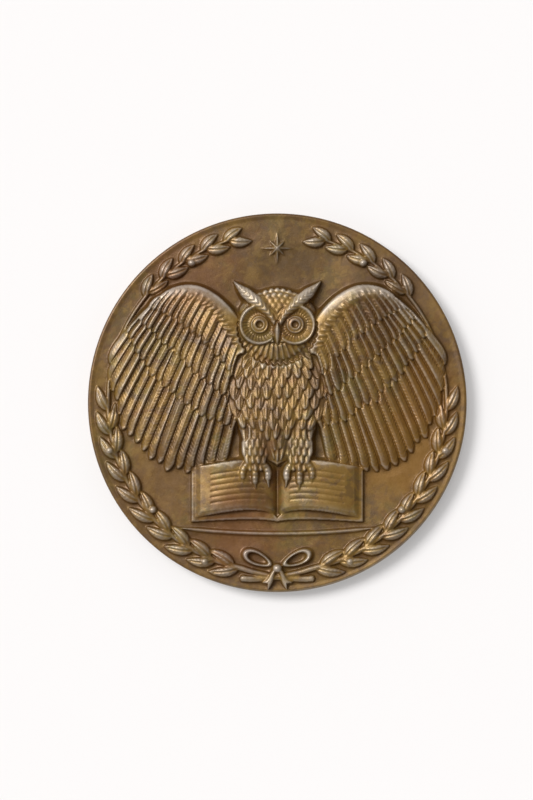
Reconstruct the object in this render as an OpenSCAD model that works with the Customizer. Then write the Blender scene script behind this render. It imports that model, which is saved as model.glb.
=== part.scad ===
/* [Disc] */
// Diameter of the medal
disc_d = 80; // [60:1:110]
// Thickness of the plain disc, from the back to the field
disc_t = 4.2; // [3:0.1:7]
// Radius of the soft corner all round both faces
corner_r = 0.5; // [0.3:0.1:1.2]
// Width of the low rim round the field
rim_w = 1; // [0.6:0.1:2.5]
// Height of the low rim above the field
rim_h = 0.1; // [0.05:0.05:0.6]
// Width of the flat ring on the back that the medal rests on
foot_w = 3; // [1.5:0.1:6]
// Depth of the shallow recess inside that ring
back_depth = 0.35; // [0.1:0.05:0.8]

/* [Relief] */
// Height of the tallest point of the relief above the field
relief_h = 4.2; // [2:0.1:5]

/* [Wings] */
// Long feathers in each wing
feathers = 17; // [9:1:19]
// Room between the wing tips and the edge of the disc
wing_gap = 3.2; // [2.4:0.1:8]
// Width of the arm along the top of the wing
arm_w = 4; // [2.4:0.2:5.2]

/* [Body] */
// Width of the breast
breast_w = 18.8; // [15.2:0.1:21.6]
// Height of the breast
breast_h = 26.8; // [24:0.1:29.6]
// Breast feathers across the widest row
breast_across = 8; // [5:1:9]
// Rows of breast feathers
breast_rows = 11; // [7:1:12]
// Width of a toe
toe_w = 1.9; // [1.5:0.1:2.3]

/* [Head] */
// Width of the head
head_w = 17.4; // [15.2:0.1:19.2]
// Height of the head
head_h = 15.2; // [13.6:0.1:16.8]
// Radius of each face disc
face_r = 4.36; // [3.6:0.02:4.6]
// Feathers in the ruff round the face
ruff = 28; // [18:1:36]

/* [Book] */
// Width of the pages of the open book
book_w = 34.4; // [28:0.2:37.6]
// Height of its pages
book_h = 10.8; // [8:0.1:12]
// How far the cover stands out round the pages
cover_edge = 1; // [0.5:0.1:1.4]

/* [Branches] */
// Distance of each stem from the edge of the disc
branch_gap = 4.3; // [4:0.1:6]
// Pairs of leaves on each branch
leaf_pairs = 19; // [12:1:20]
// Length of the lowest leaf
leaf_l = 6.6; // [4.8:0.1:7.2]
// Width of a leaf
leaf_w = 2.2; // [1.6:0.05:2.4]
// Width of a stem at its foot
stem_w = 1.36; // [1:0.02:1.8]
// Diameter of an olive
olive_d = 1.9; // [1.4:0.1:2.2]
// Width of the bow that ties the branches
bow_w = 16; // [12:0.5:18]
// Radius of the star between the tips of the branches
star_r = 3.6; // [2.4:0.1:4]

/* [Hidden] */
$fn = 96;
r0 = disc_d / 2;
field_z = disc_t;
// Heights below are millimetres on a relief that is 3.6 mm high
k = relief_h / 3.6;
function z(h) = field_z + h * k;

// The mirrored pieces reach a little deeper into the disc than their twins, so that no faces coincide
$side = 0;
function sunk(h) = h - 0.06 * $side;

// Points along curves and general helpers
function mix(a, b, t) = a + (b - a) * t;
function clamp(v, lo = 0, hi = 1) = max(lo, min(hi, v));
function bez2(p, t) = (1 - t) * (1 - t) * p[0] + 2 * t * (1 - t) * p[1] + t * t * p[2];
function bez3(p, t) = pow(1 - t, 3) * p[0] + 3 * t * pow(1 - t, 2) * p[1]
    + 3 * t * t * (1 - t) * p[2] + pow(t, 3) * p[3];
function unit(v) = v / norm(v);
function turned(v) = [-v[1], v[0]];
function flat_sum(list, i = 0) = i == len(list) ? [0, 0, 0] : list[i] + flat_sum(list, i + 1);

function cross_sum(p, i = 0) = i == len(p) ? 0
    : let (a = p[i], b = p[(i + 1) % len(p)]) a[0] * b[1] - a[1] * b[0] + cross_sum(p, i + 1);
function facing(outline, faces) = cross_sum(outline) < 0 ? faces : [for (f = faces) [f[2], f[1], f[0]]];

// A closed solid under a grid of points: rows of equal length, a skirt all round
// down to z = low, and a fan below that ends in one deeper point
module sheet(rows, low, deep) {
    n = len(rows);
    m = len(rows[0]);
    top = [for (r = rows) for (p = r) p];
    loop = concat(
        [for (j = [0 : m - 1]) j],
        [for (i = [1 : n - 1]) i * m + m - 1],
        [for (j = [m - 2 : -1 : 0]) (n - 1) * m + j],
        [for (i = [n - 2 : -1 : 1]) i * m]
    );
    e = len(loop);
    foot = [for (q = loop) [top[q][0], top[q][1], sunk(low)]];
    mid = flat_sum(foot) / e;
    below = n * m;
    faces = facing(foot, concat(
        [for (i = [0 : n - 2]) for (j = [0 : m - 2]) [i * m + j, i * m + j + 1, (i + 1) * m + j + 1]],
        [for (i = [0 : n - 2]) for (j = [0 : m - 2]) [i * m + j, (i + 1) * m + j + 1, (i + 1) * m + j]],
        [for (q = [0 : e - 1]) [loop[q], below + q, below + (q + 1) % e]],
        [for (q = [0 : e - 1]) [loop[q], below + (q + 1) % e, loop[(q + 1) % e]]],
        [for (q = [0 : e - 1]) [below + q, below + e, below + (q + 1) % e]]
    ));
    polyhedron(concat(top, foot, [[mid[0], mid[1], sunk(deep)]]), faces);
}

// The same under rings of points round one middle point
module dome(middle, rings, low, deep) {
    n = len(rings);
    m = len(rings[0]);
    top = concat([middle], [for (r = rings) for (p = r) p]);
    last = 1 + (n - 1) * m;
    below = 1 + n * m;
    foot = [for (j = [0 : m - 1]) [top[last + j][0], top[last + j][1], sunk(low)]];
    faces = concat(
        [for (j = [0 : m - 1]) [0, 1 + (j + 1) % m, 1 + j]],
        [for (i = [0 : 1 : n - 2]) for (j = [0 : m - 1])
            [1 + i * m + j, 1 + i * m + (j + 1) % m, 1 + (i + 1) * m + (j + 1) % m]],
        [for (i = [0 : 1 : n - 2]) for (j = [0 : m - 1])
            [1 + i * m + j, 1 + (i + 1) * m + (j + 1) % m, 1 + (i + 1) * m + j]],
        [for (j = [0 : m - 1]) [last + j, last + (j + 1) % m, below + (j + 1) % m]],
        [for (j = [0 : m - 1]) [last + j, below + (j + 1) % m, below + j]],
        [for (j = [0 : m - 1]) [below + j, below + (j + 1) % m, below + m]]
    );
    polyhedron(concat(top, foot, [[middle[0], middle[1], sunk(deep)]]), faces);
}

// A ridge along a path: stations of [x, y, half width, edge height, crest height]
function side_of(st, i) =
    let (n = len(st), a = st[max(i - 1, 0)], b = st[min(i + 1, n - 1)])
    turned(unit([b[0] - a[0], b[1] - a[1]]));
module ridge(st, low) {
    n = len(st);
    points = [for (i = [0 : n - 1])
        let (s = side_of(st, i), q = st[i], w = q[2])
        for (p = [[1, q[3]], [0, q[4]], [-1, q[3]], [-1, undef], [1, undef]])
            [q[0] + s[0] * w * p[0], q[1] + s[1] * w * p[0], is_undef(p[1]) ? sunk(low) : z(p[1])]];
    faces = concat(
        [[0, 1, 2], [0, 2, 3], [0, 3, 4]],
        [for (i = [0 : n - 2]) for (j = [0 : 4]) [i * 5 + j, (i + 1) * 5 + j, (i + 1) * 5 + (j + 1) % 5]],
        [for (i = [0 : n - 2]) for (j = [0 : 4])
            [i * 5 + j, (i + 1) * 5 + (j + 1) % 5, i * 5 + (j + 1) % 5]],
        [let (e = (n - 1) * 5) [e + 2, e + 1, e], let (e = (n - 1) * 5) [e + 3, e + 2, e],
            let (e = (n - 1) * 5) [e + 4, e + 3, e]]
    );
    polyhedron(points, faces);
}

module mirrored() {
    children();
    mirror([1, 0, 0])
        let ($side = 1)
            children();
}

// The plain disc: soft corners, a low rim, and a shallow recess in the back
module disc() {
    top = field_z + rim_h;
    rotate_extrude() {
        difference() {
            union() {
                square([r0 - corner_r, field_z]);
                translate([0, corner_r])
                    square([r0, top - 2 * corner_r]);
                for (y = [corner_r, top - corner_r])
                    translate([r0 - corner_r, y])
                        intersection() {
                            circle(r = corner_r);
                            translate([0, -corner_r])
                                square([corner_r, 2 * corner_r]);
                        }
                polygon([
                    [r0 - rim_w - corner_r, field_z - 0.1],
                    [r0 - corner_r, field_z - 0.1],
                    [r0 - corner_r, top],
                    [r0 - rim_w, top],
                    [r0 - rim_w - corner_r / 2, field_z]
                ]);
            }
            polygon([
                [-1, -1],
                [r0 - foot_w, -1],
                [r0 - foot_w, 0],
                [r0 - foot_w - back_depth, back_depth],
                [-1, back_depth]
            ]);
        }
    }
}

// Wings. The root runs from the wrist to the shoulder and the tips run the same way
ROOT = [[0.6, 0.56], [0.45, 0.65], [0.2125, 0.525], [0.15, 0.1625]] * r0;
TIP = [[0.962, 0.258], [0.965, -0.19], [0.679, -0.53], [0.299, -0.359]] * (r0 - wing_gap);
// Feather rows from the long feathers up: reach, lift, crown
ROWS = [[1.00, 0.00, 0.46], [0.60, 0.26, 0.42], [0.40, 0.50, 0.36], [0.23, 0.68, 0.30]];
function wing_at(s, t) =
    let (a = bez3(ROOT, s), b = bez3(TIP, s), d = unit(b - a))
    bez2([a, (a + b) / 2 + turned(d) * r0 * mix(0.05, 0.015, s), b], t);
function wing_z(s, t) = 0.55 + 1.15 * exp(-pow(t / 0.3, 1.6))
    + 0.62 * sin(180 * pow(t, 0.8)) * (0.35 + 0.65 * s);
function off_crest(c, row) = abs(((c + 2 * (row % 2)) % 4) - 2) / 2;
function tip_t(c, row) = ROWS[row][0] - 0.045 * pow(off_crest(c, row), 2.4);
function feather_z(c, s, t, row) = z(wing_z(s, t) + ROWS[row][1]
    + ROWS[row][2] * (1 - pow(off_crest(c, row), 2.2)));
function arm_half(s) = arm_w / 2 * mix(0.35, 1.1, min(1, s * 4) * 0.6 + s * 0.4);
function arm_at(s, side) =
    let (a = bez3(ROOT, max(s - 0.02, 0)), b = bez3(ROOT, min(s + 0.02, 1)))
    bez3(ROOT, s) + turned(unit(b - a)) * arm_half(s) * side;
function up(p, h) = [p[0], p[1], h];

module wing() {
    n = feathers * 4;
    rows = concat(
        [[for (c = [0 : n]) up(arm_at(c / n, -1), z(1.9))]],
        [[for (c = [0 : n]) up(arm_at(c / n, -0.1), z(3.1 - 0.45 * (1 - c / n)))]],
        [for (q = [3 : -1 : 0])
            for (step = q == 3 ? [0] : [1, 0])
                [for (c = [0 : n])
                    let (s = c / n, t = step == 1 ? tip_t(c, q + 1) + 0.012 : tip_t(c, q))
                    up(wing_at(s, t), feather_z(c, s, t, q))]]
    );
    sheet(rows, field_z - 0.4, field_z - 1.6);
}

// Breast: an oval dome whose feathers lie in rows, like tiles
breast_y = 0.02 * r0;
function breast_half(y) = let (q = (y - breast_y) / (breast_h / 2))
    breast_w / 2 * sqrt(max(0, 1 - q * q)) * (1 + 0.05 * q);
function breast_z(u, y) = 0.9 + 2.05 * sqrt(1 - 0.92 * u * u)
    * (1 - 0.3 * pow(abs((y - breast_y) / (breast_h / 2)), 2.5));
module breast() {
    m = breast_across * 4;
    from = breast_y + breast_h / 2 * 0.86;
    to = breast_y - breast_h / 2 * 0.9;
    pitch = (from - to) / breast_rows;
    rows = [for (i = [0 : breast_rows]) for (step = i == 0 ? [1] : i == breast_rows ? [0] : [0, 1])
        [for (c = [0 : m])
            let (
                u = 0.97 * (2 * c / m - 1),
                v = off_crest(c, i + 1 - step),
                inner = i > 0 && i < breast_rows,
                swing = inner ? (i > breast_rows - 2 ? 0.6 : 1) * (1 - 0.6 * pow(u, 6)) : 0,
                y = from - pitch * (i + swing * (0.42 - 0.84 * pow(off_crest(c, i), 2.2)))
                    - (step == 1 && i > 0 ? 0.12 : 0)
            )
            [u * breast_half(y), y, z(breast_z(u, y) + (step == 0 ? 0.2 : 0) + 0.16 * (1 - pow(v, 2.2)))]]];
    sheet(rows, field_z - 0.55, field_z - 1.9);
}

// Three tail feathers that show between the legs
module tail_feathers() {
    for (i = [-1 : 1])
        ridge([for (t = [0 : 0.25 : 1])
            [i * mix(0.064, 0.132, t) * breast_w, book_top + mix(0.65, -0.24, t) * book_h,
                breast_w * 0.0766 * (t == 1 ? 0.3 : 1), 1.55 - 0.2 * abs(i), 2.15 - 0.2 * abs(i)]],
            field_z - 0.7 - 0.04 * i);
}

// Head: a dome with a ruff of short feathers, two face discs, brows and a beak
head_y = breast_y + breast_h / 2 + 0.05 * r0;
face_x = 0.86 * face_r;
face_y = head_y + 0.057 * face_r;
// Rings of the head: share of its outline, height, and how far the ruff steps in between feathers
HEAD = [[0.45, 3.15, 0], [0.7, 2.75, 0], [0.84, 2.5, 0], [0.86, 2.1, 0.02], [1, 1.85, 0.06]];
function head_out(a) = let (c = abs(cos(a)) / (head_w / 2), s = abs(sin(a)) / (head_h / 2))
    1 / pow(pow(c, 2.3) + pow(s, 2.3), 1 / 2.3);
function in_ruff(a) = clamp((abs(((a - 90) % 360 + 540) % 360 - 180) - 38) / 12);
module head() {
    m = ruff * 2;
    dome([0, head_y, z(3.3)], [for (q = HEAD) [for (c = [0 : m - 1])
        let (
            a = 90 + 360 * (c + 0.5) / m,
            odd = c % 2,
            r = head_out(a) * q[0] * (1 - q[2] * odd * in_ruff(a))
        )
        [r * cos(a), head_y + r * sin(a), z(q[1] + (odd == 0 && q[0] > 0.85 ? 0.25 * in_ruff(a) : 0))]]],
        field_z - 0.85, field_z - 2);
}

// Profile of a face disc from the middle out: share of its radius, height
FACE = [[0.14, 2.3], [0.17, 3.1], [0.34, 2.9], [0.36, 3.02], [0.41, 3.02], [0.45, 2.55], [0.6, 2.42],
    [0.8, 2.85], [0.87, 3.2], [0.93, 3.28], [1, 2.7]];
module face_disc() {
    translate([face_x, face_y, 0])
        rotate_extrude()
            polygon(concat(
                [[0, sunk(field_z + 0.2)], [0, z(FACE[0][1])]],
                [for (q = FACE) [q[0] * face_r, z(q[1])]],
                [[face_r, sunk(field_z + 0.2)]]
            ));
}

// Path of a brow from the middle of the head, as shares of half its width and height
BROW = [for (q = [[0.023, -0.079], [0.172, 0.553], [0.529, 0.579], [1.057, 1.237]])
    [q[0] * head_w / 2, head_y + q[1] * head_h / 2]];
// Half width of a brow along its length, as a share of the head's width
BROW_HALF = [[0, 0.023], [0.18, 0.048], [0.5, 0.078], [0.75, 0.069], [1, 0.007]];
module brow() {
    ridge([for (i = [0 : 10])
        let (
            t = i / 10,
            q = bez3(BROW, t),
            top = 2.75 + 0.85 * sin(180 * min(1, t * 0.8 + 0.22)) - 0.9 * clamp((t - 0.5) / 0.5)
        )
        [q[0], q[1], head_w * lookup(t, BROW_HALF), top - 0.7, top]], field_z - 0.3);
}

// Stations of the beak: share of its length, half width as a share of the head's, edge height, crest height
BEAK = [[0, 0.041, 2.4, 3.1], [0.3, 0.12, 2.5, 3.6], [0.6, 0.115, 2.4, 3.55], [0.85, 0.064, 2.1, 3.1],
    [1, 0.009, 1.9, 2.3]];
module beak() {
    ridge([for (q = BEAK)
        [0, head_y + head_h / 2 * mix(0.092, -0.566, q[0]), head_w / 2 * q[1], q[2], q[3]]], field_z - 0.2);
}

// Legs: a feathered thigh and three toes over the top edge of the book
book_top = breast_y - breast_h / 2 - 0.02 * r0;
book_foot = book_top - book_h;
leg_x = 0.245 * breast_w;
leg_y = book_top + 0.15 * breast_h;
module thigh() {
    rx = 0.16 * breast_w;
    ry = 0.187 * breast_h;
    dome([leg_x, leg_y, z(3)], [for (q = [[0.4, 2.85], [0.7, 2.4], [0.92, 1.7], [1, 1.2]])
        [for (c = [0 : 19]) let (a = 18 * c, w = 1 + 0.07 * (c % 2) * max(0, -sin(a)))
            [leg_x + rx * q[0] * w * cos(a), leg_y + ry * q[0] * w * sin(a), z(q[1])]]],
        field_z - 0.75, field_z - 1.7);
}
// Where each claw starts from the leg and the edge of the book, in widths of a toe
TOES = [[-1.37, -1.84], [1.42, -1.74], [0.05, -2.26]] * toe_w;
module toe(i) {
    tip = [leg_x, book_top] + TOES[i];
    from = [leg_x + TOES[i][0] * 0.35, book_top + 0.53 * toe_w];
    bend = [tip[0] + TOES[i][0] * 0.1, book_top - 0.1 * toe_w];
    end = [tip[0], tip[1] + 0.63 * toe_w];
    ridge([for (j = [0 : 6]) let (t = j / 6, q = bez2([from, bend, end], t), bead = j % 2 == 1 ? 0.16 : 0)
        [q[0], q[1], toe_w * mix(0.5, 0.4, t), 1.75, 2.5 - 0.15 * t + bead]], field_z - 0.9 - 0.03 * i);
    ridge([
        [end[0], end[1] + 0.16 * toe_w, 0.26 * toe_w, 1.6, 2.45],
        [tip[0], tip[1] + 0.08 * toe_w, 0.24 * toe_w, 1.5, 2.1],
        [tip[0] - 0.1 * toe_w, tip[1] - 0.47 * toe_w, 0.05 * toe_w, 1.3, 1.7]
    ], field_z - 1.05 - 0.03 * i);
}

// Open book: a flat cover, and pages that rise from the gutter and step down at their edges
// How far each layer of leaves steps in, as a share of the width, and how far it lies below the top one
LAYERS = [[0, 0.3], [0.0122, 0.14], [0.0244, 0]];
SHARES = [0, 0.035, 0.08, 0.16, 0.28, 0.42, 0.56, 0.7, 0.84, 0.94];
function arch(u) = 0.1435 * book_h * sin(180 * pow(clamp(u), 0.62));
function page_z(u) = 0.75 + 1.35 * pow(sin(180 * (0.12 + 0.62 * u)), 1.3)
    - 1.1 * exp(-pow(u / 0.045, 1.4)) - 0.55 * pow(u, 3);
module pages() {
    half = book_w / 2;
    cols = concat([for (u = SHARES) [u, 2]], [for (j = [[2, 2], [2, 1], [1, 1], [1, 0], [0, 0]])
        [1 - 2 * LAYERS[j[0]][0] + (j[0] == j[1] ? 0 : 0.003), j[1]]]);
    lines = [[0, 0], [1, 0], [1, 1], [2, 1], [2, 2], [3, 2]];
    rows = [for (l = lines) [for (c = cols)
        let (
            layer = min(l[1], c[1]),
            step = l[0] == l[1] ? 0 : 0.0017 * book_w,
            y = l[0] == 3 ? book_top : book_foot + LAYERS[l[0]][0] * book_w - step
        )
        [c[0] * half, y + arch(c[0]), z(page_z(c[0]) - LAYERS[layer][1])]]];
    sheet(rows, field_z - 0.65, field_z - 1.8);
}
module cover() {
    half = book_w / 2 + cover_edge;
    head = book_top - 0.1 * cover_edge;
    tail = book_foot - cover_edge;
    sheet([for (top = [true, false]) [for (i = [-8 : 8]) let (u = abs(i) / 8)
        [i / 8 * half, top ? head + 0.45 * arch(u) : tail + 0.35 * arch(u), z(0.68)]]],
        field_z - 0.5, field_z - 2.1);
}

module ground() {
    y = book_foot - cover_edge - 0.03 * r0;
    path = [[-0.5125 * r0, y], [0, y - 0.06 * r0], [0.5125 * r0, y]];
    ridge([for (i = [0 : 10]) let (q = bez2(path, i / 10), inner = i % 10 > 0)
        [q[0], q[1], r0 * 0.0138 * (inner ? 1 : 0.3), 0.1, inner ? 0.52 : 0.15]], field_z - 0.45);
}

// Branches: a stem along the rim, pairs of leaves, olives, and a bow where the stems cross
function stem_r(a) = r0 - branch_gap - 0.00225 * r0 * clamp(a + 78, -30, 0);
function stem_at(a) = [stem_r(a) * cos(a), stem_r(a) * sin(a)];
function pair_angle(i) = mix(-80, 77, (i + 0.35) / leaf_pairs);
// Leaves that the wing would cover are left out
function is_hidden(p) = let (a = atan2(p[1], p[0])) a > 4 && a < 38;
module leaf(p, along, out, len) {
    half = leaf_w / 2;
    path = [p, p + along * len * 0.42 + out * len * 0.3, p + along * len * 0.93 + out * len * 0.34];
    q1 = bez2(path, 0.35);
    q2 = bez2(path, 0.72);
    n1 = turned(unit(path[2] - path[0])) * half;
    n2 = turned(unit(path[2] - q1)) * half * 0.82;
    edge = [up(path[0], z(0.4)), up(q1 + n1, z(0.55)), up(q2 + n2, z(0.5)), up(path[2], z(0.35)),
        up(q2 - n2, z(0.5)), up(q1 - n1, z(0.55))];
    low = sunk(field_z - 0.3);
    foot = [for (q = edge) up(q, low)];
    polyhedron(concat(edge, [up(q1, z(0.98)), up(q2, z(0.9))], foot), concat(
        [[0, 1, 6], [1, 2, 7], [1, 7, 6], [2, 3, 7], [3, 4, 7], [4, 5, 6], [4, 6, 7], [5, 0, 6]],
        [for (j = [0 : 5]) [j, 8 + j, 8 + (j + 1) % 6]],
        [for (j = [0 : 5]) [j, 8 + (j + 1) % 6, (j + 1) % 6]],
        [[8, 13, 12, 11, 10, 9]]
    ));
}
module branch() {
    ridge([for (a = [-101 : 7.739 : 77.1]) let (q = stem_at(a), t = (a + 101) / 178)
        [q[0], q[1], stem_w * mix(0.5, 0.206, t), 0.4, 0.82 - 0.12 * t]], field_z - 0.35);
    for (i = [0 : leaf_pairs - 1]) {
        a = pair_angle(i);
        tang = unit(stem_at(a + 0.5) - stem_at(a - 0.5));
        len = leaf_l * (1 - 0.25 * (i + 0.35) / leaf_pairs);
        for (lat = [1, -1]) {
            p = stem_at(a) + tang * (lat > 0 ? 0 : leaf_l / 6);
            if (!is_hidden(p + tang * len * (lat > 0 ? 0.2 : 0.6)))
                leaf(p, tang, -turned(tang) * lat, len);
        }
    }
}
module olives() {
    for (i = [1 : 3 : leaf_pairs - 1]) {
        a = pair_angle(i) + 3.4;
        p = stem_at(a) * (i % 2 == 1 ? 1.03 : 0.97);
        if (!is_hidden(p))
            translate(up(p, z(0.5)))
                sphere(d = olive_d);
    }
}
// A loop of the bow: share of its outline, height
LOOP = [[0.34, 0.3], [0.66, 1.25], [1, 0.5]];
knot_y = branch_gap - r0 + 0.05 * bow_w;
module bow_half() {
    loop = [0.2575 * bow_w, knot_y + 0.125 * bow_w];
    turn = 24;
    dome(up(loop, z(0.22)), [for (q = LOOP) [for (c = [0 : 17])
        let (
            a = 20 * c,
            x = q[0] * 0.25 * bow_w * cos(a),
            y = q[0] * 0.1075 * bow_w * sin(a) * (1 + 0.35 * cos(a))
        )
        [loop[0] + x * cos(turn) - y * sin(turn), loop[1] + x * sin(turn) + y * cos(turn), z(q[1])]]],
        field_z - 0.6, field_z - 1.3);
    ribbon = [[0.025, -0.015], [0.15, -0.15], [0.2375, -0.0625], [0.375, -0.1625]] * bow_w;
    ridge([for (i = [0 : 5]) let (q = bez3(ribbon, i / 5))
        [q[0], knot_y + q[1], bow_w * mix(0.0275, 0.055, i / 5), 0.45, 1.15]], field_z - 0.7);
}
module knot() {
    dome([0, knot_y, z(1.75)], [for (q = [[0.6, 1.5], [1, 0.6]]) [for (c = [0 : 9]) let (a = 36 * c + 9)
        [0.07 * bow_w * q[0] * cos(a), knot_y + 0.0625 * bow_w * q[0] * sin(a), z(q[1])]]],
        field_z - 0.8, field_z - 1.2);
}

module star() {
    middle = [0, 0.815 * r0];
    outline = [for (i = [0 : 15])
        let (r = star_r * (i % 2 == 1 ? 0.333 : i % 4 == 0 ? 1 : 0.644), a = 22.5 * i + 90)
        [middle[0] + r * cos(a), middle[1] + r * sin(a), field_z - 0.12]];
    polyhedron(concat(outline, [up(middle, z(1.2)), up(middle, field_z - 1)]), concat(
        [for (j = [0 : 15]) [j, 16, (j + 1) % 16]],
        [for (j = [0 : 15]) [j, (j + 1) % 16, 17]]
    ));
}

module medal() {
    color("peru") {
        disc();
        mirrored() branch();
        mirrored() olives();
        mirrored() bow_half();
        knot();
        ground();
        star();
        mirrored() wing();
        tail_feathers();
        breast();
        cover();
        mirrored() pages();
        mirrored() thigh();
        mirrored() for (i = [0 : 2]) toe(i);
        head();
        mirrored() face_disc();
        mirrored() brow();
        beak();
    }
}

medal();
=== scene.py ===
import bpy
import math
import numpy as np
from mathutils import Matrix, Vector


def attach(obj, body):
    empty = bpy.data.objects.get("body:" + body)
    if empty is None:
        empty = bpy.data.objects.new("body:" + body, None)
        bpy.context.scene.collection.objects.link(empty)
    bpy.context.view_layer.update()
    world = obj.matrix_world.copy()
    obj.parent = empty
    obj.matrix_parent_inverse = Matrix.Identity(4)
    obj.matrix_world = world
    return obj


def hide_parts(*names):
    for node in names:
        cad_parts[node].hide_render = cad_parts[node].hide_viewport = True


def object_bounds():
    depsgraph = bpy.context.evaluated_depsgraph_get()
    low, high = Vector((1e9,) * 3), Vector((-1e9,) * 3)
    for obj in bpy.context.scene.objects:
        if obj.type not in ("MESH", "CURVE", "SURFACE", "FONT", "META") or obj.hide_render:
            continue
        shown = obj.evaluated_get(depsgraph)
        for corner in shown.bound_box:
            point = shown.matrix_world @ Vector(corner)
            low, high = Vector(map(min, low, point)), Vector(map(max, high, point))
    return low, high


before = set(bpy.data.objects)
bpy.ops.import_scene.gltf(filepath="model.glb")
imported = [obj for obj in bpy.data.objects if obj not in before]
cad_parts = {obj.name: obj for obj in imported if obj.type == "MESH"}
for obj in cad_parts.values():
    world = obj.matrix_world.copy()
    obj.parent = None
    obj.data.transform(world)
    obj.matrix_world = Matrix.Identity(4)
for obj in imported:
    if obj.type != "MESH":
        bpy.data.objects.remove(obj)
cad_low, cad_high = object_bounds()

# Sizes of the CAD part. All lengths are in millimetres until the mesh is made
DISC_R = round(1000 * cad_high[0], 2)
FIELD_Z = 4.2
CORNER_R = 0.5
RIM_W = 1.0
RIM_H = 0.1
FOOT_W = 3.0
BACK_DEPTH = 0.35
# The rim shows a little higher than the part's
RIM_RISE = 0.13
# The relief is drawn 3.6 mm high, and cast this much deeper
DEPTH = 4.2 / 3.6

# The relief is a map of heights on a square grid
STEP = 0.1
rng = np.random.default_rng(7)
count = int(round(2 * DISC_R / STEP)) + 1
axis = np.linspace(-DISC_R, DISC_R, count)
X, Y = np.meshgrid(axis, axis)
H = np.zeros_like(X)


# Helpers: every height is above the field
def smooth(a, b, x):
    """A soft step from 0 at a to 1 at b."""
    t = np.clip((x - a) / (b - a), 0, 1)
    return t * t * (3 - 2 * t)


def smooth_max(a, b, k):
    """The higher of two heights, with a fillet where they meet."""
    h = np.clip(0.5 + 0.5 * (a - b) / k, 0, 1)
    return b * (1 - h) + a * h + k * h * (1 - h)


def quadratic(a, b, c, t):
    return (1 - t) ** 2 * a + 2 * t * (1 - t) * b + t * t * c


def cubic(p, t):
    t = np.asarray(t, float)[..., None]
    p = np.array(p, float)
    return (1 - t) ** 3 * p[0] + 3 * t * (1 - t) ** 2 * p[1] + 3 * t * t * (1 - t) * p[2] + t ** 3 * p[3]


def curve(*points, m=24):
    """A path of m points on a curve with three or four control points."""
    t = np.linspace(0, 1, m)
    if len(points) == 4:
        return cubic(points, t)
    return quadratic(*[np.array(q, float) for q in points], t[:, None])


def window(low, high, pad=0.0):
    """Slices of the grid that hold a box and a margin round it."""
    i0, j0 = [int(np.clip((v - pad + DISC_R) / STEP, 0, count)) for v in low]
    i1, j1 = [int(np.clip((v + pad + STEP + DISC_R) / STEP, 0, count)) for v in high]
    return slice(j0, j1 + 1), slice(i0, i1 + 1)


def along(path, pad):
    """For the grid points near a path: share of its length, signed distance from it, and the length."""
    win = window(path.min(0), path.max(0), pad)
    x, y = X[win], Y[win]
    seg = np.diff(path, axis=0)
    length = np.linalg.norm(seg, axis=1)
    start = np.r_[0, np.cumsum(length)]
    best = np.full(x.shape, 1e9)
    share = np.zeros(x.shape)
    side = np.zeros(x.shape)
    for k in range(len(seg)):
        if length[k] < 1e-9:
            continue
        ux, uy = seg[k] / length[k]
        dx, dy = x - path[k, 0], y - path[k, 1]
        f = np.clip(dx * ux + dy * uy, 0, length[k])
        d = np.hypot(dx - f * ux, dy - f * uy)
        m = d < best
        best[m] = d[m]
        share[m] = (start[k] + f[m]) / start[-1]
        side[m] = np.sign(ux * dy - uy * dx)[m]
    return win, share, best * np.where(side == 0, 1, side), start[-1]


def ridge(path, half_width, profile, fillet=None):
    """Lays a ridge along a path. It covers what is under it, or with a fillet grows out of it.

    The profile gives the height from the share of the length t, the share of the half width v
    from -1 to 1, the distance d from the path, and the path's length.
    """
    hw = np.array(half_width, float)
    win, t, d, length = along(path, hw[:, 1].max() + 0.3)
    w = np.interp(t, hw[:, 0], hw[:, 1])
    m = np.abs(d) < w
    v = np.clip(d / np.maximum(w, 1e-6), -1, 1)
    z = profile(t, v, d, length)
    under = H[win]
    under[m] = z[m] if fillet is None else smooth_max(z[m], under[m], fillet)


def bump(cx, cy, rx, ry, top, base, fillet=0.1):
    """Half an ellipsoid that grows out of what is under it."""
    reach = max(rx, ry)
    win = window((cx - reach, cy - reach), (cx + reach, cy + reach), 0.2)
    q = np.clip(1 - ((X[win] - cx) / rx) ** 2 - ((Y[win] - cy) / ry) ** 2, 0, 1)
    m = q > 0
    H[win][m] = smooth_max((base + (top - base) * np.sqrt(q))[m], H[win][m], fillet)


def turned(v):
    """The direction a quarter turn to the right."""
    return np.array([v[1], -v[0]]) / math.hypot(v[0], v[1])


def plume(t, from_share, w, power=2.2):
    """Half widths of a feather that is even and then rounds off at its tip."""
    past = np.clip((t - from_share) / (1 - from_share), 0, 1)
    return np.c_[t, w * np.sqrt(np.clip(1 - past ** power, 0, 1))]


def quill(d, t, high, wide=0.15):
    return high * np.exp(-(d / wide) ** 2) * smooth(1.0, 0.82, t)


def barbs(d, v, t, length, deep, pitch=0.68):
    """Fine lines that slant away from the quill."""
    return deep * np.sin((np.abs(d) * 1.1 + t * length) * 2 * np.pi / pitch) * smooth(0.12, 0.35, np.abs(v))


# Branches of leaves along the rim. Angles are in degrees from the right
LEAF_PAIRS = 19
FIRST_PAIR, BRANCH_TURN = -80, 157
STEM_R, STEM_FOOT, STEM_TIP = 35.7, -101, 77
# Below this angle each stem drifts outwards, by so much a degree, and they cross
STEM_DRIFT_FROM, STEM_DRIFT = -78, 0.09
STEM_HALF_W = [(0, 0.7), (0.12, 0.6), (1, 0.28)]
STEM_EDGE, STEM_CROWN = 0.42, 0.42
LEAF_LONG, LEAF_HALF_W, LEAF_EDGE, LEAF_CROWN = 6.6, 1.13, 0.38, 0.76
# The last leaves are shorter by this share, and each leaf tilts by this much
LEAF_SHRINK, LEAF_TILT = 0.25, 0.14
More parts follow.
